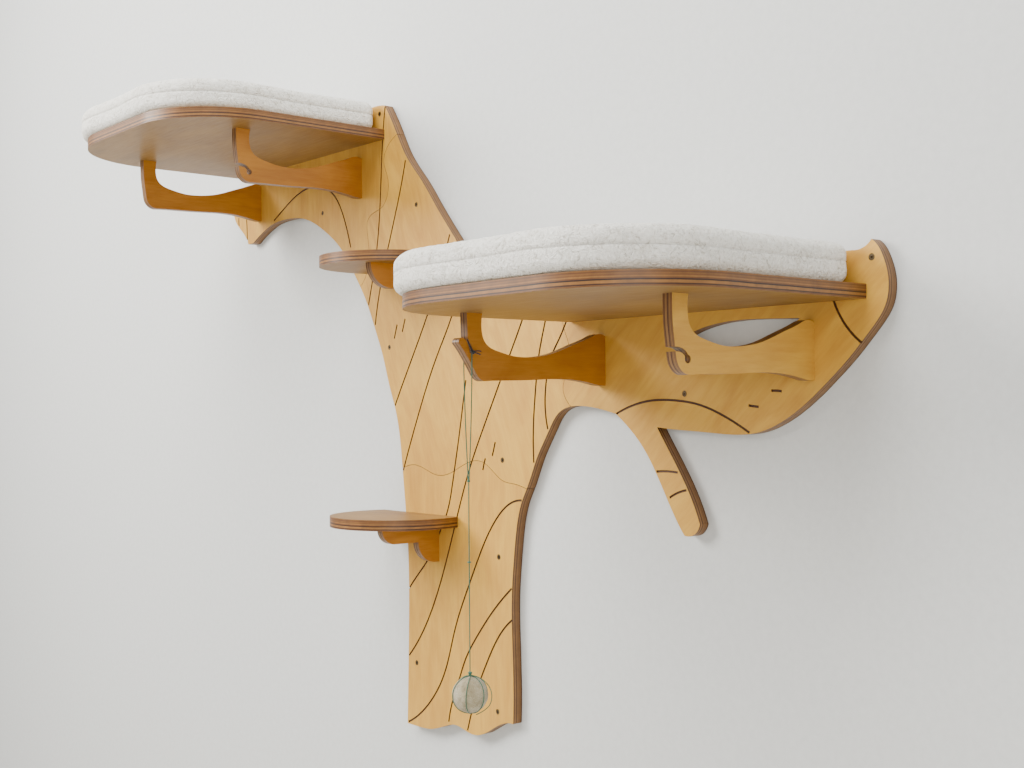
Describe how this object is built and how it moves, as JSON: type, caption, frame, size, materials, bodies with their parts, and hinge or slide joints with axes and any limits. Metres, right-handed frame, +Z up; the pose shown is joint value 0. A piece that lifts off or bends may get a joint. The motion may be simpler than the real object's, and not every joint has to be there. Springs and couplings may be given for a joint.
{
  "type": "cat tree",
  "caption": "Wall-hung cat tree: a routed plywood tree panel with padded shelves on curved brackets, round steps on corbels, and a ball toy on a string.",
  "frame": {"origin": "on the wall plane behind the lower trunk, in the panel's back face", "axes": "+X right along the wall, +Y into the wall, +Z up"},
  "size_m": [1.6363, 0.467, 1.1263],
  "materials": {
    "varnished_plywood": "satin",
    "zinc_steel": "satin",
    "boucle_fabric": "matt",
    "foam": "matt",
    "black_thread": "matt",
    "green_thread": "matt",
    "wool": "matt"
  },
  "bodies": {
    "tree": {"panel_trunk_lower": "varnished_plywood", "panel_trunk_upper": "varnished_plywood", "panel_left_branch": "varnished_plywood", "panel_right_branch": "varnished_plywood", "left_shelf": "varnished_plywood", "right_shelf": "varnished_plywood", "bracket_left_outer": "varnished_plywood", "bracket_left_inner": "varnished_plywood", "bracket_right_inner": "varnished_plywood", "bracket_right_outer": "varnished_plywood", "lower_step": "varnished_plywood", "upper_step": "varnished_plywood", "lower_step_corbel": "varnished_plywood", "upper_step_corbel": "varnished_plywood", "wall_screws": "zinc_steel", "bracket_screws": "zinc_steel", "shelf_screws": "zinc_steel", "shelf_edge_screws": "zinc_steel", "step_screws": "zinc_steel", "corbel_screws": "zinc_steel"},
    "left_cushion": {"left_cushion_cover": "boucle_fabric", "left_cushion_foam": "foam"},
    "right_cushion": {"right_cushion_cover": "boucle_fabric", "right_cushion_foam": "foam"},
    "string_loop": {"hook_tie": "black_thread", "string_strand_left": "green_thread", "string_strand_right": "green_thread", "string_knot": "green_thread"},
    "toy": {"string_lower": "green_thread", "string_lower_knot": "green_thread", "toy_ball": "wool", "toy_ball_net": "green_thread", "toy_ball_knot": "green_thread"}
  },
  "joints": [
    {"name": "left_cushion_lift", "type": "slide", "parent": "tree", "child": "left_cushion", "axis": [0, 0, 1], "range_m": [0, 0.15]},
    {"name": "right_cushion_lift", "type": "slide", "parent": "tree", "child": "right_cushion", "axis": [0, 0, 1], "range_m": [0, 0.15]},
    {"name": "string_loop_swing", "type": "hinge", "parent": "tree", "child": "string_loop", "pos_m": [0.3545, -0.271, 0.3465], "axis": [1, 0, 0], "range_deg": [-60, 25]},
    {"name": "toy_swing", "type": "hinge", "parent": "string_loop", "child": "toy", "pos_m": [0.3545, -0.271, 0.171], "axis": [0, 1, 0], "range_deg": [-35, 35]}
  ]
}
